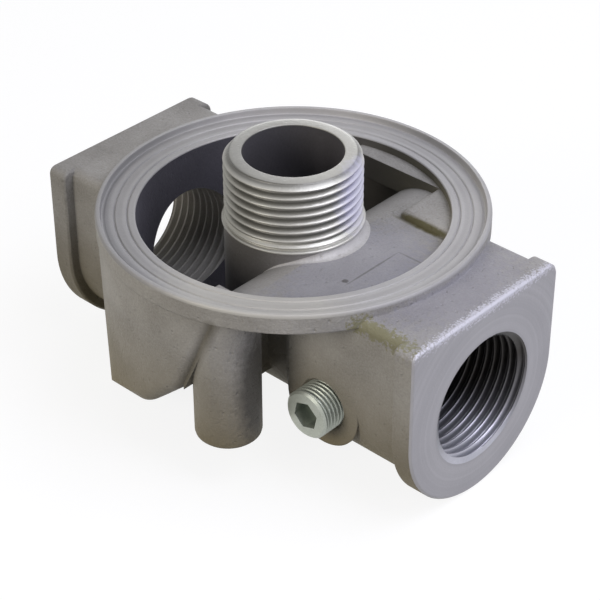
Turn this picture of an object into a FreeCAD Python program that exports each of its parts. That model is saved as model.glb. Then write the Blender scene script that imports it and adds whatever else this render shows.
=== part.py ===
# Filter head: one aluminium casting with a spin-on nipple, two in-line threaded ports and one plug.
# Millimetres. +Z runs out of the nipple, +X out of the outlet port, -Y out of the plugged wall.
# The origin is the centre of the sealing lip, on the nipple's axis.

import math
import os

import FreeCAD
import Part

# Sealing ring
RING_OUTER_R = 37.5
RING_EDGE_CHAMFER = 0.4
RING_LIP_WIDTH = 1.0
RING_LIP_INNER_R = RING_OUTER_R - RING_LIP_WIDTH
RING_LAND_WIDTH = 6.6
RING_LAND_DEPTH = 1.2
RING_OPENING_R = RING_LIP_INNER_R - RING_LAND_WIDTH
RING_RIM_HEIGHT = 3.9
RECESS_DEPTH = 3.0

# Web below the ring, with a ledge on each side of the duct
WEB_THICKNESS = 5.0
WEB_OVERLAP = 1.6
FRONT_LEDGE_X = 6.0
BACK_LEDGE_X = -8.0
LEDGE_WIDTH = 3.7
LEDGE_Y = RING_OPENING_R - LEDGE_WIDTH

# Spin-on nipple, a three-quarter inch parallel pipe thread
PIPE_THREAD_MINOR_R = 12.06
PIPE_THREAD_DEPTH = 1.16
PIPE_THREAD_MAJOR_R = PIPE_THREAD_MINOR_R + PIPE_THREAD_DEPTH
NIPPLE_TOP_Z = 11.3
NIPPLE_THREAD_END_Z = -2.2
NIPPLE_CHAMFER = 1.0
NIPPLE_COLLAR_STEP = 0.48
NIPPLE_COLLAR_R = PIPE_THREAD_MAJOR_R + NIPPLE_COLLAR_STEP
NIPPLE_COLLAR_HEIGHT = 0.8
NIPPLE_BORE_R = 9.6
NIPPLE_BORE_CHAMFER = 0.25
NIPPLE_PIPE_STEP = 0.08
NIPPLE_PIPE_R = PIPE_THREAD_MAJOR_R + NIPPLE_PIPE_STEP

# Ports and the duct that turns from the nipple into the outlet
PORT_AXIS_Z = -22.35
PORT_FACE_X = 46.9
PORT_MOUTH_CLEARANCE = 0.03
PORT_MOUTH_R = PIPE_THREAD_MAJOR_R + PORT_MOUTH_CLEARANCE
OUTLET_THREAD_LENGTH = 17.0
INLET_OVERRUN = 1.0
DUCT_BORE_R = 10.6
DUCT_OUTER_R = 15.1
DUCT_TAPER = 2.0

# Port necks and their flanges, each a round bottom under a flat top
NECK_HALF_WIDTH = 18.4
NECK_START_X = 14.4
NECK_INLET_START_X = -24.0
NECK_CORNER_R = 2.0
NECK_END_R = 1.4
FLANGE_HALF_WIDTH = 20.5
FLANGE_THICKNESS = 4.6
FLANGE_FRONT_CORNER_R = 1.5
FLANGE_BACK_CORNER_R = 2.8
FLANGE_CHAMFER = 0.4
BLOCK_TOP_Z = -2.2

# Inlet bowl, outside: a drafted cylinder with rounded lower sides, under a ramp that falls to the inlet
BOWL_INSET = 0.2
BOWL_TOP_R = RING_OUTER_R - BOWL_INSET
BOWL_DRAFT = 0.9
BOWL_BOTTOM_R = BOWL_TOP_R - BOWL_DRAFT
BOWL_BOTTOM_Z = -42.5
BOWL_SHOULDER_Z = -27.5
BOWL_CUT_BACK = 13.0
BOWL_FOOT_Y = RING_OUTER_R - BOWL_CUT_BACK
BOWL_SIDE_R = 14.0
BOWL_EDGE_R = 3.0
RAMP_TOP_X = 15.1
RAMP_KNEE_X = 4.9
RAMP_KNEE_Z = -21.9
RAMP_KNEE_R = 8.0
RAMP_FOOT_X = -18.0

# Inlet bowl, inside: straight down from the ring's opening, its floor rolling up to the flat one
CHAMBER_BOTTOM_Z = -38.2
CHAMBER_SHOULDER_Z = -29.8
CHAMBER_CUT_BACK = 7.3
CHAMBER_FOOT_Y = RING_OPENING_R - CHAMBER_CUT_BACK
CHAMBER_SIDE_R = 9.7
FLOOR_Z = -4.7
FLOOR_EDGE_X = 4.7
FLOOR_ROLL_R = 12.0
CHAMBER_KNEE_X = -4.3
CHAMBER_KNEE_Z = -23.5
CHAMBER_KNEE_R = 5.0
CHAMBER_FOOT_X = -20.7
CHAMBER_FOOT_R = 4.0
PAD_X = 13.3
PAD_Y = 15.0
PAD_CORNER_R = 1.2
PAD_ROLL_R = 1.6

# Mounting posts, each tied to the bowl by a web and to the duct by a rib
POST_X = 10.0
POST_INSET = 8.8
POST_Y = RING_OUTER_R - POST_INSET
POST_R = 6.35
POST_END_Z = -32.6
POST_EDGE_R = 0.9
POST_HOLE_R = 2.5
POST_HOLE_DEPTH = 12.0
POST_DRILL_TIP = 1.4
POST_MOUTH_CHAMFER = 0.5
POST_WEB_X = 5.0
POST_WEB_DROP = 0.8
RIB_X = 7.3
RIB_THICKNESS = 3.0
RIB_START_Y = 12.7
RIB_END_Z = -27.6

# Plug, a one-eighth inch pipe thread with a hexagon socket, and its boss in the front wall
PLUG_X = 24.2
PLUG_Z = -25.1
PLUG_THREAD_R = 4.86
PLUG_HOLE_R = 4.28
PLUG_HOLE_CLEARANCE = 0.02
PLUG_STAND_OUT = 4.6
PLUG_LENGTH = 11.4
PLUG_EDGE = 0.45
PLUG_SOCKET_AF = 5.0
PLUG_SOCKET_DEPTH = 4.0
PLUG_TURN = 18.0
BOSS_R = 8.6
BOSS_DEPTH = 6.4
SINK_R = 5.3
SINK_DEPTH = 1.2

MARGIN = 5.0
ROUND_STEPS = 3
SAME_PLACE = 1e-4
UP = FreeCAD.Vector(0, 0, 1)
ALONG_X = FreeCAD.Vector(1, 0, 0)
ALONG_Y = FreeCAD.Vector(0, 1, 0)
NO_OFFSET = FreeCAD.Vector(0, 0, 0)


def vec(x, y, z):
    """Return the point x, y, z as a vector."""
    return FreeCAD.Vector(x, y, z)


def rod(radius, start, direction, length):
    """Return a cylinder that begins at start and runs along direction."""
    return Part.makeCylinder(radius, length, start, direction)


def cone(radius_a, radius_b, start, direction, length):
    """Return a cone from radius_a at start to radius_b at its far end."""
    return Part.makeCone(radius_a, radius_b, length, start, direction)


def block(low, high):
    """Return the box between two corners."""
    size = high - low
    return Part.makeBox(size.x, size.y, size.z, low)


def turned(points):
    """Return the solid swept by a closed outline of (radius, height) points about the nipple's axis."""
    corners = [vec(radius, 0, height) for radius, height in points]
    wire = Part.makePolygon(corners + [corners[0]])
    return Part.Face(wire).revolve(NO_OFFSET, UP, 360)


def quarter_round(reach, end, radius):
    """Return (reach, station) points that round the outer corner at an end, in equal turns."""
    points = []
    for step in range(ROUND_STEPS + 1):
        angle = math.pi / 2 * step / ROUND_STEPS
        points.append((reach - radius * (1 - math.sin(angle)), end + radius * (1 - math.cos(angle))))
    return points


def arc_at(before, corner, after, radius):
    """Return the start, middle and end of the arc that rounds one corner of an outline."""
    back = (before - corner).normalize()
    ahead = (after - corner).normalize()
    half_angle = back.getAngle(ahead) / 2
    reach = radius / math.tan(half_angle)
    inward = (back + ahead).normalize()
    middle = corner + inward * (radius / math.sin(half_angle) - radius)
    return corner + back * reach, middle, corner + ahead * reach


def rounded_loop(corners):
    """Return the edges of a closed outline given as (point, corner radius) pairs."""
    count = len(corners)
    edges = []
    stops = []
    for index, (corner, radius) in enumerate(corners):
        before = corners[index - 1][0]
        after = corners[(index + 1) % count][0]
        if radius > 0:
            start, middle, end = arc_at(before, corner, after, radius)
            edges.append(Part.Arc(start, middle, end).toShape())
            stops.append((start, end))
        else:
            stops.append((corner, corner))
    for index in range(count):
        edges.append(Part.makeLine(stops[index - 1][1], stops[index][0]))
    return Part.sortEdges(edges)[0]


def extruded(edges, travel):
    """Return the solid that a closed loop of edges sweeps along travel."""
    return Part.Face(Part.Wire(edges)).extrude(travel)


def port_outline(half_width, front_r, back_r, x):
    """Return the outline of a neck or flange at x: round below the port's axis, flat on top."""
    top = BLOCK_TOP_Z
    low_a = vec(x, -half_width, PORT_AXIS_Z)
    low_b = vec(x, half_width, PORT_AXIS_Z)
    bottom = vec(x, 0, PORT_AXIS_Z - half_width)
    side_a, middle_a, top_a = top_corner(-half_width, front_r, x)
    side_b, middle_b, top_b = top_corner(half_width, back_r, x)
    return [
        Part.Arc(low_a, bottom, low_b).toShape(),
        Part.makeLine(low_b, side_b),
        Part.Arc(side_b, middle_b, top_b).toShape(),
        Part.makeLine(top_b, top_a),
        Part.Arc(top_a, middle_a, side_a).toShape(),
        Part.makeLine(side_a, low_a),
    ]


def top_corner(y, radius, x):
    """Return the side, middle and top points of the arc that rounds one upper corner at y."""
    inward = -math.copysign(radius, y)
    diagonal = 1 - math.sqrt(0.5)
    side = vec(x, y, BLOCK_TOP_Z - radius)
    middle = vec(x, y + inward * diagonal, BLOCK_TOP_Z - radius * diagonal)
    top = vec(x, y + inward, BLOCK_TOP_Z)
    return side, middle, top


def port_prism(half_width, corner_radii, x_start, x_end):
    """Return a neck or flange between two stations along the port's axis."""
    outline = port_outline(half_width, *corner_radii, x_start)
    return extruded(outline, vec(x_end - x_start, 0, 0))


def edges_at_x(shape, x):
    """Return the edges that lie wholly in the plane at x."""
    found = []
    for edge in shape.Edges:
        box = edge.BoundBox
        if abs(box.XMin - x) < SAME_PLACE and abs(box.XMax - x) < SAME_PLACE:
            found.append(edge)
    return found


def flange(side):
    """Return one port flange, its face edges broken; side is +1 for the outlet and -1 for the inlet."""
    face_x = side * PORT_FACE_X
    inner_x = side * (PORT_FACE_X - FLANGE_THICKNESS)
    corner_radii = (FLANGE_FRONT_CORNER_R, FLANGE_BACK_CORNER_R)
    solid = port_prism(FLANGE_HALF_WIDTH, corner_radii, inner_x, face_x)
    return solid.makeChamfer(FLANGE_CHAMFER, edges_at_x(solid, face_x) + edges_at_x(solid, inner_x))


def outlet_neck():
    """Return the outlet neck, its end beside the mounting post rounded."""
    flange_x = PORT_FACE_X - FLANGE_THICKNESS / 2
    solid = port_prism(NECK_HALF_WIDTH, (NECK_CORNER_R, NECK_CORNER_R), NECK_START_X, flange_x)
    return solid.common(neck_end(flange_x))


def neck_end(far_x):
    """Return the outline that rounds the neck's end: upright sides over a half-round bottom."""
    rounding = quarter_round(NECK_HALF_WIDTH, NECK_START_X, NECK_END_R)
    corners = [vec(x, -y, PORT_AXIS_Z) for y, x in rounding]
    corners += [vec(far_x, -NECK_HALF_WIDTH, PORT_AXIS_Z), vec(far_x, NECK_HALF_WIDTH, PORT_AXIS_Z)]
    corners += [vec(x, y, PORT_AXIS_Z) for y, x in reversed(rounding)]
    upright = Part.Face(Part.makePolygon(corners + [corners[0]])).extrude(UP * (BLOCK_TOP_Z - PORT_AXIS_Z))
    radii = [vec(NECK_START_X, 0, PORT_AXIS_Z)]
    radii += [vec(x, 0, PORT_AXIS_Z - y) for y, x in rounding]
    radii += [vec(far_x, 0, PORT_AXIS_Z - NECK_HALF_WIDTH), vec(far_x, 0, PORT_AXIS_Z)]
    bottom = Part.Face(Part.makePolygon(radii + [radii[0]])).revolve(radii[0], ALONG_X, 360)
    return upright.fuse(bottom)


def inlet_neck():
    """Return the inlet neck, which runs into the bowl."""
    flange_x = -PORT_FACE_X + FLANGE_THICKNESS / 2
    return port_prism(NECK_HALF_WIDTH, (NECK_CORNER_R, NECK_CORNER_R), NECK_INLET_START_X, flange_x)


def sealing_ring():
    """Return the turned ring: a thin lip at its rim and the gasket's land around the opening."""
    outline = [
        (RING_OPENING_R, -RING_RIM_HEIGHT),
        (RING_OPENING_R, -RING_LAND_DEPTH),
        (RING_LIP_INNER_R, -RING_LAND_DEPTH),
        (RING_LIP_INNER_R, 0),
        (RING_OUTER_R - RING_EDGE_CHAMFER, 0),
        (RING_OUTER_R, -RING_EDGE_CHAMFER),
        (RING_OUTER_R, -RING_RIM_HEIGHT),
    ]
    return turned(outline)


def web_disc():
    """Return the disc that closes the ring below its recess, before the chamber is opened."""
    return rod(RING_OPENING_R + WEB_OVERLAP, vec(0, 0, web_bottom_z()), UP, WEB_THICKNESS)


def web_bottom_z():
    """Return the height of the web's underside."""
    return -RECESS_DEPTH - WEB_THICKNESS


def across(half_width, foot_y, depths, corner_r, x_reach):
    """Return the long solid of a bowl's cross-section, its lower corners cut back and rounded."""
    shoulder_z, bottom_z, top_z = depths
    corners = []
    for y, z, radius in (
        (-half_width, top_z, 0),
        (-half_width, shoulder_z, corner_r),
        (-foot_y, bottom_z, corner_r),
        (foot_y, bottom_z, corner_r),
        (half_width, shoulder_z, corner_r),
        (half_width, top_z, 0),
    ):
        corners.append((vec(-x_reach, y, z), radius))
    return extruded(rounded_loop(corners), vec(2 * x_reach, 0, 0))


def along(profile, y_reach):
    """Return the wide solid of a lengthwise profile given as (x, z, corner radius) points."""
    corners = [(vec(x, -y_reach, z), radius) for x, z, radius in profile]
    return extruded(rounded_loop(corners), vec(0, 2 * y_reach, 0))


def ramp_profile(drop):
    """Return the bowl's lengthwise profile, its underside lowered by drop."""
    x_low = -BOWL_TOP_R - MARGIN
    steepness = (-RING_EDGE_CHAMFER - RAMP_KNEE_Z) / (RAMP_TOP_X - RAMP_KNEE_X)
    return (
        (x_low, -RING_EDGE_CHAMFER, 0),
        (RAMP_TOP_X + drop / steepness, -RING_EDGE_CHAMFER, 0),
        (RAMP_KNEE_X, RAMP_KNEE_Z - drop, RAMP_KNEE_R),
        (RAMP_FOOT_X, BOWL_BOTTOM_Z - drop, 0),
        (x_low, BOWL_BOTTOM_Z - drop, 0),
    )


def bowl_outside(drop):
    """Return the outside of the inlet bowl, just inside the ring at its top, its ramp lowered by drop."""
    height = -RING_EDGE_CHAMFER - BOWL_BOTTOM_Z
    drafted = cone(BOWL_BOTTOM_R, BOWL_TOP_R, vec(0, 0, BOWL_BOTTOM_Z), UP, height)
    reach = BOWL_TOP_R + MARGIN
    depths = (BOWL_SHOULDER_Z, BOWL_BOTTOM_Z, -RING_LAND_DEPTH)
    sides = across(RING_OUTER_R, BOWL_FOOT_Y, depths, BOWL_SIDE_R, reach)
    return drafted.common(sides).common(along(ramp_profile(drop), reach))


def rounded_bowl():
    """Return the bowl's outside with both long edges of its ramp rounded."""
    solid = bowl_outside(0)
    ramp_edges = [edge for face in solid.Faces if is_ramp_face(face) for edge in face.Edges]
    climbing = [edge for edge in ramp_edges if edge.BoundBox.ZLength > SAME_PLACE]
    return solid.makeFillet(BOWL_EDGE_R, climbing)


def is_ramp_face(face):
    """Tell whether a face belongs to the ramp, which slopes lengthwise and runs straight across."""
    surface = face.Surface
    if isinstance(surface, Part.Plane):
        return abs(surface.Axis.x) > SAME_PLACE and abs(surface.Axis.y) < SAME_PLACE
    return isinstance(surface, Part.Cylinder) and abs(surface.Axis.y) > 1 - SAME_PLACE


def chamber_profile(top_z):
    """Return the chamber's lengthwise profile: deep at the inlet, rolling up to the flat floor."""
    reach = RING_OPENING_R + MARGIN
    return (
        (-reach, top_z, 0),
        (reach, top_z, 0),
        (reach, FLOOR_Z, 0),
        (FLOOR_EDGE_X, FLOOR_Z, FLOOR_ROLL_R),
        (CHAMBER_KNEE_X, CHAMBER_KNEE_Z, CHAMBER_KNEE_R),
        (CHAMBER_FOOT_X, CHAMBER_BOTTOM_Z, CHAMBER_FOOT_R),
        (-reach, CHAMBER_BOTTOM_Z, 0),
    )


def ledge(side, start_x):
    """Return the block that keeps a ledge of web beside one long wall, from start_x to the outlet side."""
    reach = RING_OPENING_R + MARGIN
    y_low, y_high = sorted((side * LEDGE_Y, side * reach))
    return block(vec(start_x, y_low, web_bottom_z()), vec(reach, y_high, -RECESS_DEPTH))


def chamber_space():
    """Return the space inside the bowl and its opening through the web, pipe and duct left standing."""
    reach = RING_OPENING_R + MARGIN
    depths = (CHAMBER_SHOULDER_Z, CHAMBER_BOTTOM_Z, 0)
    sides = across(RING_OPENING_R, CHAMBER_FOOT_Y, depths, CHAMBER_SIDE_R, reach)
    drum = rod(RING_OPENING_R, vec(0, 0, CHAMBER_BOTTOM_Z), UP, -CHAMBER_BOTTOM_Z)
    space = drum.common(sides).common(along(chamber_profile(0), reach))
    kept = [ledge(-1, FRONT_LEDGE_X), ledge(1, BACK_LEDGE_X), raised_pad()]
    return space.cut(kept + [pipe_outside(), duct_outside()])


def raised_pad():
    """Return the pad beside the outlet that stands one step above the chamber's floor."""
    reach = RING_OPENING_R + MARGIN
    solid = block(vec(PAD_X, PAD_Y, web_bottom_z()), vec(reach, reach, -RECESS_DEPTH))
    corner = [edge for edge in solid.Edges if is_upright(edge, PAD_X, PAD_Y)]
    solid = solid.makeFillet(PAD_CORNER_R, corner)
    roll = [edge for edge in edges_at_x(solid, PAD_X) if edge.BoundBox.ZMin > -RECESS_DEPTH - MARGIN / 2]
    return solid.makeFillet(PAD_ROLL_R, [edge for edge in roll if edge.BoundBox.ZLength < PAD_ROLL_R])


def is_upright(edge, x, y):
    """Tell whether an edge is the vertical one at x, y."""
    box = edge.BoundBox
    centre = box.Center
    is_there = abs(centre.x - x) < SAME_PLACE and abs(centre.y - y) < SAME_PLACE
    return is_there and box.ZLength > box.XLength + box.YLength


def pipe_outside():
    """Return the pipe that carries the nipple down to the duct, its foot rounded like the duct."""
    shaft_length = NIPPLE_THREAD_END_Z - PORT_AXIS_Z
    shaft = rod(NIPPLE_PIPE_R, vec(0, 0, PORT_AXIS_Z), UP, shaft_length)
    return shaft.fuse(rounded_foot(NIPPLE_PIPE_R, DUCT_OUTER_R))


def rounded_foot(pipe_r, duct_r):
    """Return the lowest stretch of an upright pipe, its end round like the duct it meets."""
    foot = rod(pipe_r, vec(0, 0, PORT_AXIS_Z - duct_r), UP, duct_r)
    roller = rod(duct_r, vec(-2 * pipe_r, 0, PORT_AXIS_Z), ALONG_X, 4 * pipe_r)
    return foot.common(roller)


def duct_outside():
    """Return the round duct from the pipe to the outlet neck."""
    return rod(DUCT_OUTER_R, vec(0, 0, PORT_AXIS_Z), ALONG_X, NECK_START_X + MARGIN)


def duct_cheeks():
    """Return the upright cheeks that carry the duct up to the ring."""
    low = vec(0, -DUCT_OUTER_R, PORT_AXIS_Z)
    high = vec(NECK_START_X + MARGIN, DUCT_OUTER_R, (FLOOR_Z + web_bottom_z()) / 2)
    return block(low, high)


def nipple():
    """Return the nipple's turned outside: collar, thread blank and lead-in chamfer."""
    collar_z = NIPPLE_THREAD_END_Z - NIPPLE_COLLAR_HEIGHT
    outline = (
        (0, collar_z),
        (NIPPLE_COLLAR_R, collar_z),
        (NIPPLE_COLLAR_R, NIPPLE_THREAD_END_Z),
        (PIPE_THREAD_MAJOR_R, NIPPLE_THREAD_END_Z),
        (PIPE_THREAD_MAJOR_R, NIPPLE_TOP_Z - NIPPLE_CHAMFER),
        (PIPE_THREAD_MAJOR_R - NIPPLE_CHAMFER, NIPPLE_TOP_Z),
        (0, NIPPLE_TOP_Z),
    )
    return turned(outline)


def post(side):
    """Return one mounting post below the ring; side is -1 for the front and +1 for the back."""
    outline = [(0, POST_END_Z)] + quarter_round(POST_R, POST_END_Z, POST_EDGE_R)
    outline += [(POST_R, -RECESS_DEPTH), (0, -RECESS_DEPTH)]
    solid = turned(outline)
    solid.translate(vec(POST_X, side * POST_Y, 0))
    return solid


def post_web(side):
    """Return the web that fills the corner between one post and the bowl's underside."""
    y_low, y_high = sorted((side * (POST_Y - POST_R), side * (POST_Y + POST_R)))
    slab = block(vec(POST_WEB_X, y_low, BOWL_BOTTOM_Z), vec(POST_X, y_high, -RECESS_DEPTH))
    return slab.common(bowl_outside(POST_WEB_DROP))


def post_rib(side):
    """Return the upright rib between one post and the duct."""
    y_low, y_high = sorted((side * RIB_START_Y, side * POST_Y))
    return block(vec(RIB_X - RIB_THICKNESS, y_low, RIB_END_Z), vec(RIB_X, y_high, -RING_RIM_HEIGHT))


def post_hole(side):
    """Return the tapped blind hole in one post's end, with a drill tip and a mouth chamfer."""
    start = vec(POST_X, side * POST_Y, POST_END_Z)
    hole = rod(POST_HOLE_R, start, UP, POST_HOLE_DEPTH)
    tip = cone(POST_HOLE_R, 0, start + UP * POST_HOLE_DEPTH, UP, POST_DRILL_TIP)
    mouth = cone(POST_HOLE_R + POST_MOUTH_CHAMFER, POST_HOLE_R, start, UP, POST_MOUTH_CHAMFER)
    return hole.fuse([tip, mouth])


def port_bore(side, length):
    """Return one port's bore with its mouth chamfer, from the face inward."""
    inward = ALONG_X * -side
    start = vec(side * PORT_FACE_X, 0, PORT_AXIS_Z)
    bore = rod(PIPE_THREAD_MINOR_R, start, inward, length)
    mouth = cone(PORT_MOUTH_R, PIPE_THREAD_MINOR_R, start, inward, PORT_MOUTH_R - PIPE_THREAD_MINOR_R)
    return bore.fuse(mouth)


def inlet_bore_length():
    """Return the length that carries the inlet's bore right through the chamber's round wall."""
    wall_x = math.sqrt(RING_OPENING_R ** 2 - PIPE_THREAD_MINOR_R ** 2)
    return PORT_FACE_X - wall_x + INLET_OVERRUN


def outlet_passage():
    """Return the way from the nipple's mouth down and out through the outlet port."""
    thread_end_x = PORT_FACE_X - OUTLET_THREAD_LENGTH
    centre = vec(0, 0, PORT_AXIS_Z)
    down = rod(NIPPLE_BORE_R, centre, UP, NIPPLE_TOP_Z - PORT_AXIS_Z + MARGIN)
    lip_start = vec(0, 0, NIPPLE_TOP_Z - NIPPLE_BORE_CHAMFER)
    lip = cone(NIPPLE_BORE_R, NIPPLE_BORE_R + NIPPLE_BORE_CHAMFER, lip_start, UP, NIPPLE_BORE_CHAMFER)
    turn = rounded_foot(NIPPLE_BORE_R, DUCT_BORE_R)
    along_duct = rod(DUCT_BORE_R, centre, ALONG_X, thread_end_x)
    taper_start = vec(thread_end_x - DUCT_TAPER, 0, PORT_AXIS_Z)
    taper = cone(DUCT_BORE_R, PIPE_THREAD_MINOR_R, taper_start, ALONG_X, DUCT_TAPER)
    return down.fuse([lip, turn, along_duct, taper, port_bore(1, OUTLET_THREAD_LENGTH)])


def plug_boss():
    """Return the round boss around the plug, flush with the neck's wall."""
    return rod(BOSS_R, vec(PLUG_X, -NECK_HALF_WIDTH, PLUG_Z), ALONG_Y, BOSS_DEPTH)


def plug_hole():
    """Return the plug's hole from the wall into the outlet duct, with a countersink."""
    start = vec(PLUG_X, -NECK_HALF_WIDTH, PLUG_Z)
    hole = rod(PLUG_HOLE_R, start, ALONG_Y, NECK_HALF_WIDTH)
    sink = cone(SINK_R, PLUG_HOLE_R, start, ALONG_Y, SINK_DEPTH)
    return hole.fuse(sink)


def raw_casting():
    """Return the casting's outer form, before its recess and chamber are opened."""
    solid = web_disc().fuse([sealing_ring(), rounded_bowl()])
    solid = solid.fuse([outlet_neck(), inlet_neck(), flange(1), flange(-1)])
    solid = solid.fuse([duct_outside(), duct_cheeks(), pipe_outside(), plug_boss()])
    for side in (-1, 1):
        solid = solid.fuse([post(side), post_web(side), post_rib(side)])
    return solid


def head_casting():
    """Return the whole casting with its machined bores."""
    recess = rod(RING_OPENING_R, vec(0, 0, -RECESS_DEPTH), UP, MARGIN)
    solid = raw_casting().cut(recess).cut(chamber_space())
    solid = solid.fuse([pipe_outside(), nipple()])
    return solid.cut([
        port_bore(-1, inlet_bore_length()),
        outlet_passage(),
        plug_hole(),
        post_hole(-1),
        post_hole(1),
    ])


def hexagon(across_flats, y, depth):
    """Return a hexagonal prism on the plug's axis that runs inward from y."""
    corner_r = across_flats / math.sqrt(3)
    points = []
    for index in range(7):
        angle = math.radians(60 * index + PLUG_TURN)
        points.append(vec(PLUG_X + corner_r * math.cos(angle), y, PLUG_Z + corner_r * math.sin(angle)))
    return Part.Face(Part.makePolygon(points)).extrude(vec(0, depth, 0))


def socket_plug():
    """Return the plug: threaded head standing proud, shank in the wall and a hexagon socket."""
    shank_r = PLUG_HOLE_R - PLUG_HOLE_CLEARANCE
    slope = (SINK_R - PLUG_HOLE_R) / SINK_DEPTH
    rise = (PLUG_THREAD_R - shank_r) / slope
    face_y = -NECK_HALF_WIDTH - PLUG_STAND_OUT
    shoulder_y = -NECK_HALF_WIDTH + SINK_DEPTH - rise - 2 * PLUG_HOLE_CLEARANCE
    face = vec(PLUG_X, face_y, PLUG_Z)
    edge = cone(PLUG_THREAD_R - PLUG_EDGE, PLUG_THREAD_R, face, ALONG_Y, PLUG_EDGE)
    head_start = face + ALONG_Y * PLUG_EDGE
    head = rod(PLUG_THREAD_R, head_start, ALONG_Y, shoulder_y - head_start.y)
    neck_start = vec(PLUG_X, shoulder_y, PLUG_Z)
    neck = cone(PLUG_THREAD_R, shank_r, neck_start, ALONG_Y, rise)
    shank_start = neck_start + ALONG_Y * rise
    shank = rod(shank_r, shank_start, ALONG_Y, face_y + PLUG_LENGTH - shank_start.y)
    solid = head.fuse([edge, neck, shank])
    return solid.cut(hexagon(PLUG_SOCKET_AF, face_y, PLUG_SOCKET_DEPTH))


def cleaned(shape):
    """Return a shape with coplanar faces joined, as one solid."""
    tidy = shape.removeSplitter()
    solids = tidy.Solids
    return solids[0] if len(solids) == 1 else tidy


def export(name, shape):
    """Write one piece to its STEP file and print its size."""
    box = shape.BoundBox
    print(name, shape.ShapeType, "valid", shape.isValid(), "volume", round(shape.Volume, 1))
    print("  from", [round(value, 2) for value in (box.XMin, box.YMin, box.ZMin)])
    print("  to", [round(value, 2) for value in (box.XMax, box.YMax, box.ZMax)])
    shape.exportStep(os.path.join("parts", name + ".step"))


def main():
    """Build and write every piece."""
    os.makedirs("parts", exist_ok=True)
    export("head_casting", cleaned(head_casting()))
    export("socket_plug", cleaned(socket_plug()))


main()
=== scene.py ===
"""Scene of a cast filter head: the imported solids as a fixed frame, with its threads and finishes."""

import logging
import math
from dataclasses import dataclass, field
from enum import Enum
from functools import cached_property

import bpy
import numpy as np
from mathutils import Matrix, Vector


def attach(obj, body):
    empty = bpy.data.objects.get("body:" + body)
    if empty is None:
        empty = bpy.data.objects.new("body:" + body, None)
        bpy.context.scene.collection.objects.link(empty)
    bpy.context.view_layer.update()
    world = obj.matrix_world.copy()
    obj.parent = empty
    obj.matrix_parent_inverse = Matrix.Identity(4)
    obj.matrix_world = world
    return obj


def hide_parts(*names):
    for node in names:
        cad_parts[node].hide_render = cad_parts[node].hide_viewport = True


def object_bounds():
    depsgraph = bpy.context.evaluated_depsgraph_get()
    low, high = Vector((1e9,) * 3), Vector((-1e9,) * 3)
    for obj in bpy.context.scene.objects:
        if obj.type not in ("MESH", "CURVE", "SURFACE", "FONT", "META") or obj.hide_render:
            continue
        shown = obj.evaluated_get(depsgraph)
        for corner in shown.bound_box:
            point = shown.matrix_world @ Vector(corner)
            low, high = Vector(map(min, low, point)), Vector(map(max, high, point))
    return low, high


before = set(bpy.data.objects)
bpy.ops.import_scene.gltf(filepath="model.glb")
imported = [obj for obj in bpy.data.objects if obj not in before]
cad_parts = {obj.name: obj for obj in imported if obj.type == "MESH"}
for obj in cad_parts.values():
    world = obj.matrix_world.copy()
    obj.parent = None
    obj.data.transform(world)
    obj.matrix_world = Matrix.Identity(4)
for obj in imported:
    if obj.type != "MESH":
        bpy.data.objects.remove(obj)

LOG = logging.getLogger("filter_head")
MM = 0.001
FULL_TURN = 2.0 * math.pi
CAD_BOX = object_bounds()
Triple = tuple[float, float, float]
Array = np.ndarray
Socket = bpy.types.NodeSocket
Tree = bpy.types.NodeTree


@dataclass(frozen=True)
class Casting:
    """Sizes of the casting's machined places, in millimetres, as the solids have them."""

    nipple_major_r: float = 13.22
    nipple_top_z: float = 11.3
    nipple_thread_end_z: float = -1.5
    nipple_rim_r: float = 12.25
    nipple_rim_width: float = 0.95
    nipple_rim_height: float = 0.35
    collar_r: float = 13.7
    collar_z: float = -3.0
    pipe_r: float = 13.3
    bore_r: float = 9.6
    bore_rim: float = 0.25
    pipe_pitch: float = 1.814
    pipe_depth: float = 1.162
    port_axis_z: float = -22.35
    port_face_x: float = 46.9
    port_minor_r: float = 12.06
    outlet_thread_end_x: float = 29.9
    port_mouth_r: float = 13.25
    opening_r: float = 29.9
    lip_inner_r: float = 36.5
    ring_r: float = 37.5
    ring_edge: float = 0.4
    land_z: float = -1.2
    floor_z: float = -4.7
    floor_edge_x: float = 4.7
    ledge_y: float = 26.2
    floor_roll_r: float = 12.0
    floor_roll_x: float = 12.3
    knee_x: float = -4.3
    knee_z: float = -23.5
    foot_x: float = -20.7
    bottom_z: float = -38.2


SIZES = Casting()


class Region(Enum):
    """Finishes that share the casting's mesh, in the order of its material slots."""

    SKIN = 0
    MILLED = 1
    INSIDE = 2
    BORE = 3
    PIPE = 4
    WALL = 5


@dataclass
class Shell:
    """A mesh held as arrays: points in metres and faces as rows of point numbers."""

    points: Array
    faces: list
    regions: Array | None = None

    def to_object(self, name: str, sharp_angle: float = 30.0) -> bpy.types.Object:
        """Put the shell into the scene as a smooth object with sharp creases.

        Args:
            name: The piece's name.
            sharp_angle: Edges that turn by more than this many degrees stay sharp.

        Returns:
            The new object, at the origin and unturned.
        """
        mesh = bpy.data.meshes.new(name)
        mesh.from_pydata(self.points.tolist(), [], self.faces)
        mesh.validate()
        mesh.polygons.foreach_set("use_smooth", np.ones(len(mesh.polygons), dtype=bool))
        if self.regions is not None:
            mesh.polygons.foreach_set("material_index", self.regions.astype(np.int32))
        mesh.set_sharp_from_angle(angle=math.radians(sharp_angle))
        mesh.update()
        made = bpy.data.objects.new(name, mesh)
        bpy.context.scene.collection.objects.link(made)
        return made


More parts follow.
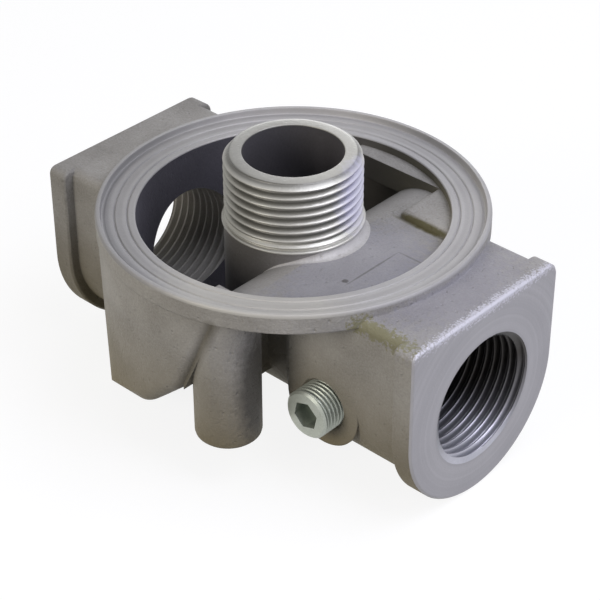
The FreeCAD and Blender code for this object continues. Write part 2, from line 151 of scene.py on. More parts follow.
def grid_shell(points: Array, outward: bool, closed: bool = True) -> Shell:
    """Join a grid of points into a surface of quads.

    Args:
        points: The points in millimetres, by row and column.
        outward: False turns every quad round, for a surface seen from inside.
        closed: True where each row closes on itself.

    Returns:
        The surface.
    """
    rows, columns = points.shape[:2]
    spans = np.arange(columns if closed else columns - 1)
    row, column = np.meshgrid(np.arange(rows - 1), spans, indexing="ij")
    ahead = (column + 1) % columns
    here, above = row * columns, (row + 1) * columns
    quads = np.stack([here + column, here + ahead, above + ahead, above + column], axis=-1).reshape(-1, 4)
    return Shell(points.reshape(-1, 3) * MM, (quads if outward else quads[:, ::-1]).tolist())


def all_round(stations: Array, columns: int) -> list:
    """Pair every station with angles spaced evenly round a circle, the first not repeated."""
    return np.meshgrid(stations, np.linspace(0.0, FULL_TURN, columns, endpoint=False), indexing="ij")


def quarter(points: int) -> Array:
    """Give angles from 0 to a quarter turn."""
    return np.linspace(0.0, 0.5 * math.pi, points)


def smooth_step(value: Array) -> Array:
    """Ease a value from 0 to 1: three times its square less twice its cube.

    Args:
        value: The values, which are held between 0 and 1 first.

    Returns:
        The eased values, of the same shape.
    """
    held = np.clip(value, 0.0, 1.0)
    return held * held * (3.0 - 2.0 * held)


@dataclass(frozen=True)
class Helix:
    """A right-handed thread about one axis, in millimetres.

    The thread's height is a triangle wave of (station / pitch - angle / full turn), cut flat at its
    crests and roots and eased round there, and it runs out to nothing at both ends. The flat share
    is how much of the wave is cut off at each end, and the straight share how little it's eased.
    """

    pitch: float
    depth: float
    start: float
    end: float
    runout_start: float
    runout_end: float
    phase: float = 0.0
    flat_share: float = 0.12
    straight_share: float = 0.7

    def height(self, station: Array, angle: Array) -> Array:
        """Give the thread's height between its root and its crest.

        Args:
            station: Distance along the axis at each point.
            angle: Angle about the axis at each point, in radians.

        Returns:
            0 at the root and 1 at the crest, at each point.
        """
        turn = station / self.pitch - angle / FULL_TURN + self.phase
        saw = turn - np.floor(turn)
        flank = (1.0 - np.abs(2.0 * saw - 1.0) - self.flat_share) / (1.0 - 2.0 * self.flat_share)
        flank = np.clip(flank, 0.0, 1.0)
        return self.straight_share * flank + (1.0 - self.straight_share) * smooth_step(flank)

    def strength(self, station: Array) -> Array:
        """Give how much of the thread's depth is cut at each station.

        It's the eased distance from the start in runouts, times the same from the end.

        Args:
            station: Distance along the axis at each point.

        Returns:
            0 at both ends and beyond them, 1 between the runouts.
        """
        way = math.copysign(1.0, self.end - self.start)
        begun = smooth_step(way * (station - self.start) / self.runout_start)
        return begun * smooth_step(way * (self.end - station) / self.runout_end)

    def cut(self, station: Array, angle: Array) -> Array:
        """Give how far an outside thread's surface lies below its crests."""
        return self.depth * self.strength(station) * (1.0 - self.height(station, angle))


@dataclass
class CadCopy:
    """A merged copy of one CAD node's mesh, to be cut and given regions."""

    node: str
    merge_digits: int = 7
    points: Array = field(init=False)
    faces: Array = field(init=False)

    def __post_init__(self) -> None:
        """Read the node's triangles and merge the points that share a place."""
        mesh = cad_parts[self.node].data
        raw = np.empty(len(mesh.vertices) * 3)
        mesh.vertices.foreach_get("co", raw)
        mesh.calc_loop_triangles()
        corners = np.empty(len(mesh.loop_triangles) * 3, dtype=np.int64)
        mesh.loop_triangles.foreach_get("vertices", corners)
        rounded = np.round(raw.reshape(-1, 3), self.merge_digits)
        self.points, mapping = np.unique(rounded, axis=0, return_inverse=True)
        triangles = mapping.reshape(-1)[corners].reshape(-1, 3)
        self.faces = triangles[(triangles != np.roll(triangles, 1, axis=1)).all(axis=1)]

    def corners(self) -> Array:
        """Give the corner points of every triangle, in millimetres."""
        return self.points[self.faces] / MM

    def normals(self) -> Array:
        """Work out every triangle's outward direction: the cross product of two edges.

        Returns:
            One unit vector for each triangle.
        """
        corners = self.corners()
        cross = np.cross(corners[:, 1] - corners[:, 0], corners[:, 2] - corners[:, 0])
        return cross / np.maximum(np.linalg.norm(cross, axis=1, keepdims=True), 1e-12)

    def remove(self, doomed: Array) -> None:
        """Drop the triangles that are marked."""
        self.faces = self.faces[~doomed]


def radius_about_z(points: Array) -> Array:
    """Give each point's distance from the nipple's axis."""
    return np.hypot(points[..., 0], points[..., 1])


def radius_about_port(points: Array) -> Array:
    """Give each point's distance from the ports' axis, in millimetres."""
    return np.hypot(points[..., 1], points[..., 2] - SIZES.port_axis_z)


class Graph:
    """A node tree with short ways to add and join its nodes."""

    number_results: tuple[str, ...] = ("DOT_PRODUCT", "LENGTH", "DISTANCE")

    def __init__(self, tree: Tree) -> None:
        """Keep the tree that the nodes go into."""
        self.tree = tree

    def feed(self, socket: Socket, value: object) -> None:
        """Join an output to a socket, or set the socket's own value.

        Args:
            socket: The input to feed.
            value: An output socket, or a plain value.
        """
        if isinstance(value, Socket):
            self.tree.links.new(value, socket)
        else:
            socket.default_value = value

    def fill(self, node: bpy.types.Node, **inputs: object) -> bpy.types.Node:
        """Set or join a node's inputs by name.

        Args:
            node: The node.
            inputs: Values or output sockets by input name, with _ for a space.

        Returns:
            The same node.
        """
        for name, value in inputs.items():
            self.feed(node.inputs[name.replace("_", " ")], value)
        return node

    def add(self, kind: str, *values: object, **inputs: object) -> bpy.types.Node:
        """Add one node and set or join its inputs.

        Args:
            kind: The node's type name.
            values: Values or output sockets for its first inputs, in their order.
            inputs: Values or output sockets by input name, with _ for a space.

        Returns:
            The new node.
        """
        node = self.tree.nodes.new(kind)
        for socket, value in zip(node.inputs, values):
            self.feed(socket, value)
        return self.fill(node, **inputs)

    def effect(self, shared: Tree, **inputs: object) -> object:
        """Add one of the shared effects.

        Args:
            shared: The node group.
            inputs: This place's own values or output sockets, by input name.

        Returns:
            The group node's outputs.
        """
        node = self.add("ShaderNodeGroup")
        node.node_tree = shared
        return self.fill(node, **inputs).outputs

    def math(self, operation: str, first: object, second: object = 0.0) -> Socket:
        """Add a math node.

        Args:
            operation: The node's operation.
            first: The first value or output socket.
            second: The second one.

        Returns:
            The node's output.
        """
        node = self.add("ShaderNodeMath", first, second)
        node.operation = operation
        return node.outputs[0]

    def weighted(self, first: object, share: float, second: object, other: float) -> Socket:
        """Give the first value times its share plus the second times the other."""
        return self.math("ADD", self.math("MULTIPLY", first, share), self.math("MULTIPLY", second, other))

    def vector(self, operation: str, first: object, second: object = None) -> Socket:
        """Add a vector math node.

        Args:
            operation: The node's operation.
            first: The first vector or output socket.
            second: The second one, or the number that scales the first.

        Returns:
            The node's output, which is a number where the operation gives one.
        """
        node = self.add("ShaderNodeVectorMath", first)
        node.operation = operation
        if second is not None:
            self.feed(node.inputs["Scale" if operation == "SCALE" else 1], second)
        return node.outputs["Value" if operation in self.number_results else "Vector"]

    def reach(self, where: object) -> Socket:
        """Give each place's distance from the Z axis."""
        return self.vector("LENGTH", self.vector("MULTIPLY", where, (1.0, 1.0, 0.0)))

    def noise(self, vector: object, scale: object, detail: float) -> Socket:
        """Add a noise texture and give its plain output."""
        return self.add("ShaderNodeTexNoise", Vector=vector, Scale=scale, Detail=detail).outputs[0]

    def ramp(self, value: object, low: object, high: object, at_low: object, at_high: object) -> Socket:
        """Map a value from one range to another, held at both ends."""
        return self.add("ShaderNodeMapRange", value, low, high, at_low, at_high).outputs[0]

    def blend(self, factor: object, first: object, second: object) -> Socket:
        """Mix two colours; a colour's sockets are the mix node's seventh and eighth.

        Args:
            factor: The share of the second colour.
            first: The first colour or output socket.
            second: The second one.

        Returns:
            The mixed colour.
        """
        node = self.add("ShaderNodeMix", factor)
        node.data_type = "RGBA"
        self.feed(node.inputs[6], first)
        self.feed(node.inputs[7], second)
        return node.outputs[2]


@dataclass
class Effects:
    """Surface effects that the finishes share, each a node group made once, when it's first used.

    Scales are in noise cells per metre. A patch is solid up to its solid share of a half size.
    """

    fine_scale: float = 2600.0
    middle_scale: float = 700.0
    patch_scale: float = 90.0
    pit_scale: float = 620.0
    pit_reach: float = 0.22
    pit_depth: float = 0.6
    mark_scale: float = 3400.0
    broad_mark_scale: float = 620.0
    solid_share: float = 0.55

    @staticmethod
    def new_group(name: str, numbers: tuple, gives: tuple, vectors: tuple = ("Vector",)) -> tuple:
        """Make an empty group with its sockets.

        Args:
            name: The group's name.
            numbers: The names of its number inputs.
            gives: The names of its number outputs.
            vectors: The names of its vector inputs.

        Returns:
            The group, a graph on it, its input node's sockets and its output node's sockets.
        """
        group = bpy.data.node_groups.new(name, "ShaderNodeTree")
        for kind, labels in (("NodeSocketVector", vectors), ("NodeSocketFloat", numbers)):
            for label in labels:
                group.interface.new_socket(label, in_out="INPUT", socket_type=kind)
        for label in gives:
            group.interface.new_socket(label, in_out="OUTPUT", socket_type="NodeSocketFloat")
        graph = Graph(group)
        return group, graph, graph.add("NodeGroupInput").outputs, graph.add("NodeGroupOutput").inputs

    @cached_property
    def grain(self) -> Tree:
        """Make the cast grain: fine noise over soft patches, with a few pits.

        Returns:
            The group, which puts out a height and a tint.
        """
        group, graph, start, end = self.new_group("cast_grain", ("Size",), ("Height", "Tint"))
        place = graph.vector("SCALE", start["Vector"], start["Size"])
        fine = graph.noise(place, self.fine_scale, 4.0)
        middle = graph.noise(place, self.middle_scale, 4.0)
        patches = graph.noise(place, self.patch_scale, 3.0)
        pits = graph.add("ShaderNodeTexVoronoi", Vector=place, Scale=self.pit_scale)
        depth = graph.ramp(pits.outputs["Distance"], 0.0, self.pit_reach, -self.pit_depth, 0.0)
        graph.feed(end["Height"], graph.math("ADD", graph.weighted(fine, 0.45, middle, 0.75), depth))
        graph.feed(end["Tint"], graph.ramp(graph.weighted(fine, 0.4, patches, 0.6), 0.3, 0.7, 0.0, 1.0))
        return group

    @cached_property
    def marks(self) -> Tree:
        """Make lathe marks: noise that depends only on the distance from the Z axis and the height.

        Returns:
            The group, which puts out a height and a tint.
        """
        group, graph, start, end = self.new_group("lathe_marks", ("Spacing",), ("Height", "Tint"))
        parts = graph.add("ShaderNodeSeparateXYZ", Vector=start["Vector"])
        ringed = graph.add("ShaderNodeCombineXYZ", X=graph.reach(start["Vector"]), Z=parts.outputs["Z"])
        place = graph.vector("SCALE", ringed.outputs[0], start["Spacing"])
        fine = graph.noise(place, self.mark_scale, 2.0)
        broad = graph.noise(place, self.broad_mark_scale, 3.0)
        graph.feed(end["Height"], graph.weighted(fine, 0.35, broad, 0.65))
        graph.feed(end["Tint"], graph.ramp(broad, 0.35, 0.65, 0.0, 1.0))
        return group

    @cached_property
    def fade(self) -> Tree:
        """Make the fade: the place along a direction, mapped from one range to another.

        Returns:
            The group, which puts out a share.
        """
        numbers = ("Start", "End", "At Start", "At End")
        group, graph, start, end = self.new_group("fade", numbers, ("Share",), ("Vector", "Direction"))
        along = graph.vector("DOT_PRODUCT", start["Vector"], start["Direction"])
        graph.feed(end["Share"], graph.ramp(along, *(start[name] for name in numbers)))
        return group

    @cached_property
    def patch(self) -> Tree:
        """Make the ragged patch.

        It's at full strength near the place and fades out where the place's distance, measured in
        half sizes and made uneven by noise, nears 1.

        Returns:
            The group, which puts out a share.
        """
        numbers, vectors = ("Strength", "Ragged", "Noise Scale"), ("Vector", "Place", "Half")
        group, graph, start, end = self.new_group("ragged_patch", numbers, ("Share",), vectors)
        offset = graph.vector("SUBTRACT", start["Vector"], start["Place"])
        distance = graph.vector("LENGTH", graph.vector("DIVIDE", offset, start["Half"]))
        uneven = graph.ramp(graph.noise(start["Vector"], start["Noise Scale"], 4.0), 0.3, 0.7, -0.5, 0.5)
        reach = graph.math("ADD", distance, graph.math("MULTIPLY", uneven, start["Ragged"]))
        graph.feed(end["Share"], graph.ramp(reach, self.solid_share, 1.0, start["Strength"], 0.0))
        return group


@dataclass(frozen=True)
class Shade:
    """A finish's colour that fades along one direction, from one share of itself to another: painted shade
    or painted light.
    """

    direction: Triple
    start: float
    end: float
    at_start: float
    at_end: float
    towards: Triple = (0.0, 0.0, 0.0)

    def factor(self, graph: Graph, effects: Effects, where: Socket) -> Socket:
        """Give the share of the colour that is left at each place.

        Args:
            graph: The material's graph.
            effects: The shared node groups.
            where: The place, as a socket.

        Returns:
            The share of the finish's colour that is left.
        """
        return graph.effect(
            effects.fade, Vector=where, Direction=self.direction, Start=self.start * MM, End=self.end * MM,
            At_Start=self.at_start, At_End=self.at_end,
        )["Share"]


@dataclass(frozen=True)
class Groove:
    """Painted shade in a thread's roots, darker than its crests: the colour fades between two radii about
    the Z axis.
    """

    root_r: float
    crest_r: float
    at_root: float
    top_z: float
    top_blend: float = 0.15
    towards: Triple = (0.0, 0.0, 0.0)

    def factor(self, graph: Graph, effects: Effects, where: Socket) -> Socket:
        """Give the share of the colour that is left, which is all of it above the thread's top.

        Args:
            graph: The material's graph.
            effects: The shared node groups.
            where: The place, as a socket.

        Returns:
            The share of the finish's colour that is left.
        """
        left = graph.ramp(graph.reach(where), self.root_r * MM, self.crest_r * MM, self.at_root, 1.0)
        height = graph.add("ShaderNodeSeparateXYZ", Vector=where).outputs["Z"]
        above = graph.ramp(height, (self.top_z - self.top_blend) * MM, self.top_z * MM, 0.0, 1.0)
        return graph.math("MAXIMUM", left, above)


@dataclass(frozen=True)
class Spot:
    """A ragged patch of another colour: a stain, an edge worn bright, or painted shade, highlight or
    light.
    """

    place: Triple
    half: Triple
    colour: Triple
    strength: float
    ragged: float = 0.8
    noise_scale: float = 900.0

    def factor(self, graph: Graph, effects: Effects, where: Socket) -> Socket:
        """Give how much of the patch's colour shows at each place.

        Args:
            graph: The material's graph.
            effects: The shared node groups.
            where: The place, as a socket.

        Returns:
            The share of the patch's colour.
        """
        return graph.effect(
            effects.patch, Vector=where, Place=Vector(self.place) * MM, Half=Vector(self.half) * MM,
            Strength=self.strength, Ragged=self.ragged, Noise_Scale=self.noise_scale,
        )["Share"]


@dataclass(frozen=True)
class Crease:
    """Painted shade along a straight crease, between two places in millimetres."""

    start: Triple
    end: Triple
    half_width: float
    colour: Triple
    strength: float

    def factor(self, graph: Graph, effects: Effects, where: Socket) -> Socket:
        """Give how much of the painted shade shows at each place.

        It fades out with the distance from the nearest point of the line. That point is the share
        of the line, from 0 to 1, which the place's offset from the start covers.

        Args:
            graph: The material's graph.
            effects: The shared node groups.
            where: The place, as a socket.

        Returns:
            The share of the painted shade's colour.
        """
        begin = Vector(self.start) * MM
        span = Vector(self.end) * MM - begin
        offset = graph.vector("SUBTRACT", where, begin)
        share = graph.ramp(graph.vector("DOT_PRODUCT", offset, span), 0.0, span.length_squared, 0.0, 1.0)
        distance = graph.vector("DISTANCE", offset, graph.vector("SCALE", span, share))
        return graph.ramp(distance, 0.0, self.half_width * MM, self.strength, 0.0)


@dataclass(frozen=True)
class Finish:
    """One finish: two colours that its grain mixes, its gloss and the depth of its texture."""

    name: str
    light: Triple
    dark: Triple
    roughness: float
    metallic: float = 0.0
    specular: float = 0.5
    grain_size: float = 1.0
    grain_depth: float = 0.0
    marks_spacing: float = 0.0
    marks_depth: float = 0.0
    marks_share: float = 0.6
    marks_about_port: bool = False
    round_edges: float = 0.0
    roughness_swing: float = 0.05
    shades: tuple = ()
    spots: tuple = ()

    def make(self, effects: Effects) -> bpy.types.Material:
        """Build the material.

        Args:
            effects: The shared node groups.

        Returns:
            The material, which reads Object coordinates only.
        """
        material = bpy.data.materials.new(self.name)
        material.use_nodes = True
        graph = Graph(material.node_tree)
        shader = material.node_tree.nodes["Principled BSDF"]
        where = graph.add("ShaderNodeTexCoord").outputs["Object"]
        grain = graph.effect(effects.grain, Vector=where, Size=self.grain_size)
        tint, height = grain["Tint"], graph.math("MULTIPLY", grain["Height"], self.grain_depth)
        if self.marks_spacing > 0.0:
            turned = self.marks_place(graph, where)
            marks = graph.effect(effects.marks, Vector=turned, Spacing=self.marks_spacing)
            tint = graph.weighted(tint, 1.0 - self.marks_share, marks["Tint"], self.marks_share)
            height = graph.math("ADD", height, graph.math("MULTIPLY", marks["Height"], self.marks_depth))
        colour = graph.blend(tint, (*self.dark, 1.0), (*self.light, 1.0))
        # Fades paint shade and light; patches add stains, wear and painted shade, highlight and light.
        for shade in self.shades:
            colour = graph.blend(shade.factor(graph, effects, where), (*shade.towards, 1.0), colour)
        for spot in self.spots:
            colour = graph.blend(spot.factor(graph, effects, where), colour, (*spot.colour, 1.0))
        dull, glossy = self.roughness + self.roughness_swing, self.roughness - self.roughness_swing
        graph.fill(shader, Base_Color=colour, Roughness=graph.ramp(tint, 0.0, 1.0, dull, glossy))
        graph.fill(shader, Metallic=self.metallic, Specular_IOR_Level=self.specular)
        bump = graph.add("ShaderNodeBump", Height=height, Strength=1.0, Distance=MM)
        if self.round_edges > 0.0:
            rounded = graph.add("ShaderNodeBevel", Radius=self.round_edges * MM)
            rounded.samples = 6
            graph.fill(bump, Normal=rounded.outputs[0])
        graph.fill(shader, Normal=bump.outputs[0])
        return material

    def marks_place(self, graph: Graph, where: Socket) -> Socket:
        """Turn the marks' coordinates, where that is asked for, so that the ports' axis is Z.

        Args:
            graph: The material's graph.
            where: The place, as a socket.

        Returns:
            The place that the marks read.
        """
        if not self.marks_about_port:
            return where
        parts = graph.add("ShaderNodeSeparateXYZ", Vector=where).outputs
        lifted = graph.math("SUBTRACT", parts["Z"], SIZES.port_axis_z * MM)
        return graph.add("ShaderNodeCombineXYZ", X=parts["Y"], Y=lifted, Z=parts["X"]).outputs[0]


# Directions along which colours fade, in the object's own axes.
BACK_RIGHT = (0.733, 0.680, 0.0)
UPWARD = (0.0, 0.0, 1.0)
ALONG_X = (1.0, 0.0, 0.0)
ALONG_Y = (0.0, 1.0, 0.0)
OUT_AND_DOWN = (1.0, 0.0, -0.9)

# Patches, with places and sizes in millimetres: stains and wear, and painted shade, highlight and light.
EDGE_WEAR = Spot(
    place=(46.9, 0.5, -2.3), half=(1.6, 25.0, 1.5), colour=(0.60, 0.59, 0.64), strength=0.9, ragged=1.3,
    noise_scale=2400.0,
)
NECK_STAIN = Spot(
    place=(36.5, -18.2, -3.0), half=(12.5, 2.2, 2.2), colour=(0.22, 0.21, 0.115), strength=0.85,
    ragged=1.2, noise_scale=1500.0,
)
# A thin dark olive band that darkens the pad's step face.
PAD_STEP_DARKENING = Spot(
    place=(19.5, 14.9, -3.4), half=(10.5, 0.9, 2.5), colour=(0.10, 0.09, 0.045), strength=1.0, ragged=0.15
)
# Painted shade on the post's side that faces the neck, and on the neck beside it.
POST_SIDE_SHADE = Spot(
    place=(17.5, -27.0, -20.0), half=(4.8, 6.5, 17.0), colour=(0.07, 0.065, 0.055), strength=0.95,
    ragged=0.15,
)
# Painted highlight: a pale warm patch on the front of the ring's top.
RING_PAINTED_HIGHLIGHT = Spot(
    place=(18.0, -28.5, -1.0), half=(24.0, 17.0, 4.0), colour=(0.56, 0.54, 0.46), strength=0.42,
    ragged=0.15,
)
# Painted light: a lamp's lilac tint on the neck's top, which it also makes a little darker.
NECK_TOP_PAINTED_LIGHT = Spot(
    place=(37.0, 0.0, -3.4), half=(19.0, 26.0, 3.2), colour=(0.27, 0.265, 0.32), strength=0.5, ragged=0.3
)
# Painted light: a cool lilac tint on the chamber's floor.
FLOOR_PAINTED_LIGHT = Spot(
    place=(19.0, -4.0, -4.7), half=(14.0, 24.0, 2.0), colour=(0.28, 0.28, 0.325), strength=0.5, ragged=0.3
)
# Painted sheen: a lilac reflection on the nipple's right side.
NIPPLE_PAINTED_SHEEN = Spot(
    place=(13.2, 5.5, 5.0), half=(5.5, 8.5, 9.5), colour=(0.60, 0.59, 0.78), strength=0.6, ragged=0.2
)
# Painted shade: the hex socket darkened, with a green tint.
SOCKET_SHADE = Spot(
    place=(24.2, -20.8, -25.1), half=(3.4, 2.3, 3.4), colour=(0.03, 0.065, 0.055), strength=0.85,
    ragged=0.1,
)
FLOOR_SPOT = Spot(
    place=(20.3, -8.1, -4.7), half=(0.7, 0.7, 0.7), colour=(0.09, 0.085, 0.08), strength=0.8
)
FLOOR_LINE = Spot(
    place=(21.3, -2.0, -4.7), half=(0.28, 8.5, 0.5), colour=(0.13, 0.125, 0.12), strength=0.7, ragged=0.2
)
FLOOR_TURN = Spot(
    place=(24.8, 5.8, -4.7), half=(4.2, 0.28, 0.5), colour=(0.15, 0.145, 0.14), strength=0.6, ragged=0.2
)
# Painted shade along the crease between the bowl and the post.
POST_CREASE_SHADE = Crease(
    start=(12.5, -34.6, -4.5), end=(4.6, -35.2, -22.5), half_width=1.9, colour=(0.09, 0.078, 0.05),
    strength=0.85,
)

# Fades, each from one place to another along its direction, in millimetres; each is painted shade or
# painted light.
# Painted shade: the skin darker towards the inlet's face.
INLET_SIDE_SHADE = Shade(ALONG_X, start=-47.0, end=-24.0, at_start=0.76, at_end=1.0)
# Painted shade: the ring's top darker towards its front left.
RING_SIDE_SHADE = Shade(BACK_RIGHT, start=-37.0, end=-8.0, at_start=0.66, at_end=1.0)
# Painted shade: the skin darker and warmer towards the bottom.
LOW_SHADE = Shade(UPWARD, start=-35.0, end=-12.0, at_start=0.0, at_end=1.0, towards=(0.18, 0.15, 0.085))
# Painted shade: the chamber's inside darker below the floor.
INSIDE_DEPTH_SHADE = Shade(UPWARD, start=-9.0, end=-4.8, at_start=0.45, at_end=1.0)
# Painted light: the wall lighter and olive towards the outlet side.
WALL_FAR_LIGHT = Shade(ALONG_X, start=-18.0, end=6.0, at_start=1.0, at_end=0.0, towards=(0.17, 0.158, 0.12))
# Painted shade: the pipe darker on its front left side and somewhat darker all over.
PIPE_SIDE_SHADE = Shade(BACK_RIGHT, start=-7.0, end=5.0, at_start=0.36, at_end=0.85)
# Painted shade: the nipple's thread darker on its front left side.
NIPPLE_SIDE_SHADE = Shade(BACK_RIGHT, start=-13.0, end=6.0, at_start=0.54, at_end=1.0)
# Painted shade: the nipple's top face darker.
NIPPLE_TOP_SHADE = Shade(UPWARD, start=11.0, end=11.25, at_start=1.0, at_end=0.76)
# Painted shade in the roots of the nipple's thread.
NIPPLE_ROOT_SHADE = Groove(root_r=12.35, crest_r=13.0, at_root=0.38, top_z=11.25)
# Painted shade: the outlet's thread darker deeper in and towards its top.
PORT_DEPTH_SHADE = Shade(OUT_AND_DOWN, start=63.0, end=75.0, at_start=0.05, at_end=1.0)
# Painted shade: the outlet's thread darker and browner on its back side.
PORT_SIDE_SHADE = Shade(ALONG_Y, start=5.0, end=11.0, at_start=1.0, at_end=0.45, towards=(0.06, 0.052, 0.045))
# Painted shade: the inlet's thread darker towards the bottom.
INLET_DEPTH_SHADE = Shade(UPWARD, start=-29.0, end=-19.0, at_start=0.45, at_end=1.0)

CAST_SKIN = Finish(
    "cast_skin", light=(0.415, 0.40, 0.372), dark=(0.25, 0.238, 0.215), roughness=0.62, specular=0.3,
    grain_depth=0.28, round_edges=0.4, shades=(LOW_SHADE, INLET_SIDE_SHADE), spots=(
        NECK_TOP_PAINTED_LIGHT, FLOOR_PAINTED_LIGHT, EDGE_WEAR, NECK_STAIN, PAD_STEP_DARKENING, POST_SIDE_SHADE, POST_CREASE_SHADE, FLOOR_SPOT,
        FLOOR_LINE, FLOOR_TURN,
    ),
)
CAST_INSIDE = Finish(
    "cast_inside", light=(0.40, 0.385, 0.36), dark=(0.27, 0.258, 0.235), roughness=0.62, specular=0.3,
    grain_depth=0.1, round_edges=0.4, shades=(INSIDE_DEPTH_SHADE,),
)
# Painted shade: the chamber's wall and the ledge faces get a near-black colour.
SHADED_WALL = Finish(
    "shaded_wall", light=(0.10, 0.096, 0.112), dark=(0.07, 0.067, 0.078), roughness=0.62, specular=0.3,
    grain_depth=0.1, round_edges=0.2, shades=(WALL_FAR_LIGHT,),
)
CAST_PIPE = Finish(
    "cast_pipe", light=(0.37, 0.355, 0.35), dark=(0.27, 0.258, 0.245), roughness=0.6, specular=0.3,
    grain_depth=0.1, shades=(PIPE_SIDE_SHADE,),
)
# Painted highlight: a lighter copy of the cast skin on the fillet at the pipe's foot.
LIT_FILLET = Finish(
    "lit_fillet", light=(0.55, 0.535, 0.52), dark=(0.40, 0.385, 0.37), roughness=0.5, metallic=0.1,
    grain_depth=0.25,
)
# Painted shade: the bores get a near-black colour.
BORE = Finish(
    "bore", light=(0.07, 0.066, 0.073), dark=(0.05, 0.047, 0.05), roughness=0.6, metallic=0.1,
    grain_depth=0.05,
)
TURNED = Finish(
    "turned_face", light=(0.46, 0.45, 0.44), dark=(0.32, 0.31, 0.305), roughness=0.48, metallic=0.12,
    specular=0.4, grain_size=1.4, grain_depth=0.04, marks_spacing=1.0, marks_depth=0.04, round_edges=0.15,
    shades=(RING_SIDE_SHADE,), spots=(RING_PAINTED_HIGHLIGHT,),
)
MILLED = Finish(
    "milled_face", light=(0.43, 0.42, 0.43), dark=(0.365, 0.355, 0.365), roughness=0.48, metallic=0.25,
    grain_size=1.4, grain_depth=0.04, marks_spacing=1.6, marks_depth=0.015, marks_about_port=True,
    round_edges=0.4, spots=(EDGE_WEAR,),
)
THREAD = Finish(
    "cut_thread", light=(0.64, 0.63, 0.575), dark=(0.50, 0.49, 0.445), roughness=0.34, metallic=0.35,
    grain_depth=0.07, shades=(NIPPLE_ROOT_SHADE, NIPPLE_SIDE_SHADE, NIPPLE_TOP_SHADE), spots=(NIPPLE_PAINTED_SHEEN,),
)
PORT_THREAD = Finish(
    "port_thread", light=(0.50, 0.50, 0.55), dark=(0.38, 0.38, 0.42), roughness=0.34, metallic=0.6,
    grain_depth=0.02, shades=(PORT_DEPTH_SHADE, PORT_SIDE_SHADE),
)
# Painted light: a pale, non-metal finish makes the inlet's thread look lit.
LIT_INLET_THREAD = Finish(
    "inlet_thread", light=(0.66, 0.635, 0.59), dark=(0.50, 0.48, 0.44), roughness=0.55, grain_depth=0.06,
    shades=(INLET_DEPTH_SHADE,),
)
ZINC = Finish(
    "zinc_plate", light=(0.54, 0.57, 0.51), dark=(0.34, 0.37, 0.32), roughness=0.36, metallic=0.5,
    grain_size=1.6, grain_depth=0.02, spots=(SOCKET_SHADE,),
)


def revolve_z(radius: Array, station: Array, angle: Array) -> Array:
    """Place points about the nipple's axis: x and y are the radius times cosine and sine of the angle.

    Args:
        radius: Distance from the axis at each point.
        station: Height along the axis at each point.
        angle: Angle about the axis at each point, in radians.

    Returns:
        The points, with x, y and z last.
    """
    return np.stack([radius * np.cos(angle), radius * np.sin(angle), station], axis=-1)


def revolve_port(radius: Array, station: Array, angle: Array) -> Array:
    """Place points about the ports' axis: y and z turn with the angle and x is the station.

    Args:
        radius: Distance from the axis at each point.
        station: Place along the axis at each point.
        angle: Angle about the axis at each point, in radians.

    Returns:
        The points, with x, y and z last.
    """
    height = radius * np.sin(angle) + SIZES.port_axis_z
    return np.stack([station, radius * np.cos(angle), height], axis=-1)


def hump(value: Array) -> Array:
    """Give a soft hump: the square of (1 less the value's square), and 0 beyond 1 on either side."""
    return np.clip(1.0 - value * value, 0.0, None) ** 2


@dataclass(frozen=True)
class NippleThread:
    """The nipple's turned outside: its collar, thread and rounded end, as far as the bore's edge."""

    columns: int = 320
    stations: int = 210
    rim_points: int = 14
    chamfer_slope: float = 1.45
    collar_height: float = 0.25
    collar_blend: float = 0.2
    bottom_runout: float = 0.5
    top_runout: float = 0.08
    phase: float = -0.30
    relief_heights: tuple[float, ...] = (-2.4, -1.45)
    relief_depth: float = 0.25
    relief_half: float = 0.3
    bead_height: float = -1.9
    bead_size: float = 0.2
    bead_half: float = 0.25

    def side_radius(self, along: Array, about: Array) -> Array:
        """Work out the radius between the collar and the top.

        It's the thread's outside less its depth times (1 - height), with a collar, two relief
        grooves and a bead between them at the bottom. It's held under a cone and an ellipse's
        quarter that join the side to the top.

        Args:
            along: Height at each point.
            about: Angle at each point, in radians.

        Returns:
            The radius at each point.
        """
        helix = Helix(
            SIZES.pipe_pitch, SIZES.pipe_depth, SIZES.nipple_thread_end_z, SIZES.nipple_top_z,
            self.bottom_runout, self.top_runout, self.phase,
        )
        beyond = (along - SIZES.collar_z - self.collar_height) / self.collar_blend
        side = SIZES.nipple_major_r - helix.cut(along, about)
        side += (SIZES.collar_r - SIZES.nipple_major_r) * (1.0 - smooth_step(beyond))
        for height in self.relief_heights:
            side -= self.relief_depth * hump((along - height) / self.relief_half)
        side += self.bead_size * hump((along - self.bead_height) / self.bead_half)
        climb = np.clip((along - SIZES.nipple_top_z) / SIZES.nipple_rim_height + 1.0, 0.0, 1.0)
        cap = SIZES.nipple_rim_r - SIZES.nipple_rim_width * (1.0 - np.sqrt(1.0 - climb * climb))
        below = np.clip(SIZES.nipple_top_z - SIZES.nipple_rim_height - along, 0.0, None)
        return np.minimum(side, cap + self.chamfer_slope * below)

    def shell(self) -> Shell:
        """Work out the turned surface.

        Returns:
            The surface from the collar's underside over the top face into the bore's edge, which is
            a quarter round.
        """
        stations = np.linspace(SIZES.collar_z, SIZES.nipple_top_z, self.stations)
        along, about = all_round(stations, self.columns)
        side = revolve_z(self.side_radius(along, about), along, about)
        turn, around = all_round(quarter(self.rim_points), self.columns)
        rim_r = SIZES.bore_r + SIZES.bore_rim * (1.0 - np.sin(turn))
        rim_z = SIZES.nipple_top_z - SIZES.bore_rim * (1.0 - np.cos(turn))
        return grid_shell(np.concatenate([side, revolve_z(rim_r, rim_z, around)]), True)


